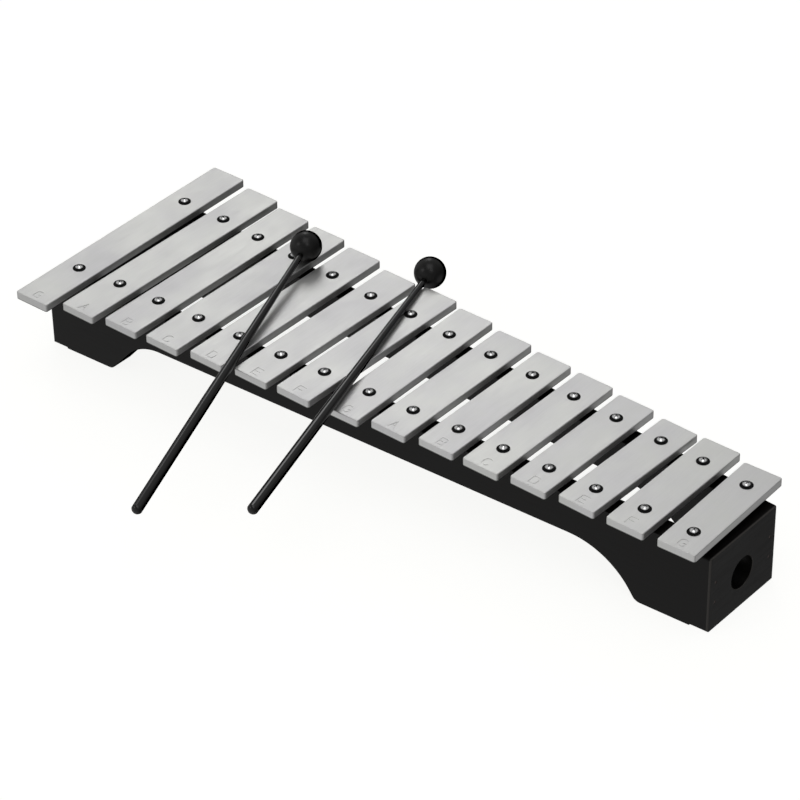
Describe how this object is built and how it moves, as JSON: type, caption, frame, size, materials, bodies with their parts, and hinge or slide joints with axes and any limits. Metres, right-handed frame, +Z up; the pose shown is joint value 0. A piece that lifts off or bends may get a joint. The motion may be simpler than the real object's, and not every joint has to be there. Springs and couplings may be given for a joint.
{
  "type": "glockenspiel",
  "caption": "Two-octave glockenspiel: flat metal bars of falling length, screwed on rubber bushes to a tapering arched black wooden frame, with two ball-headed mallets lying across it.",
  "frame": {"origin": "under the low-note end board, at the middle of its underside, on the frame's centre line", "axes": "+X from the low-note end to the high-note end, -Y towards the player, +Z up"},
  "size_m": [0.4926, 0.2954, 0.0825],
  "materials": {
    "frame_paint": "black satin paint on planed hardwood",
    "bar_metal": "satin, fine rolled grain along the bar",
    "screw_chrome": "polished",
    "bush_rubber": "matte black",
    "brad_paint": "painted over in black",
    "mallet_ball": "hard black rubber, smooth",
    "mallet_handle": "black, glossy"
  },
  "bodies": {
    "frame": {"front_rail": "frame_paint", "rear_rail": "frame_paint", "low_end_board": "frame_paint", "high_end_board": "frame_paint", "bar_g5": "bar_metal", "bar_a5": "bar_metal", "bar_b5": "bar_metal", "bar_c6": "bar_metal", "bar_d6": "bar_metal", "bar_e6": "bar_metal", "bar_f6": "bar_metal", "bar_g6": "bar_metal", "bar_a6": "bar_metal", "bar_b6": "bar_metal", "bar_c7": "bar_metal", "bar_d7": "bar_metal", "bar_e7": "bar_metal", "bar_f7": "bar_metal", "bar_g7": "bar_metal", "front_bushes": "bush_rubber", "rear_bushes": "bush_rubber", "front_bar_screws": "screw_chrome", "rear_bar_screws": "screw_chrome", "low_end_brads": "brad_paint", "high_end_brads": "brad_paint"},
    "left_mallet": {"left_mallet_ball": "mallet_ball", "left_mallet_handle": "mallet_handle"},
    "right_mallet": {"right_mallet_ball": "mallet_ball", "right_mallet_handle": "mallet_handle"}
  },
  "joints": [
    {"name": "left_mallet_lift", "type": "slide", "parent": "frame", "child": "left_mallet", "axis": [0, 0, 1], "range_m": [0, 0.12]},
    {"name": "right_mallet_lift", "type": "slide", "parent": "frame", "child": "right_mallet", "axis": [0, 0, 1], "range_m": [0, 0.12]}
  ]
}
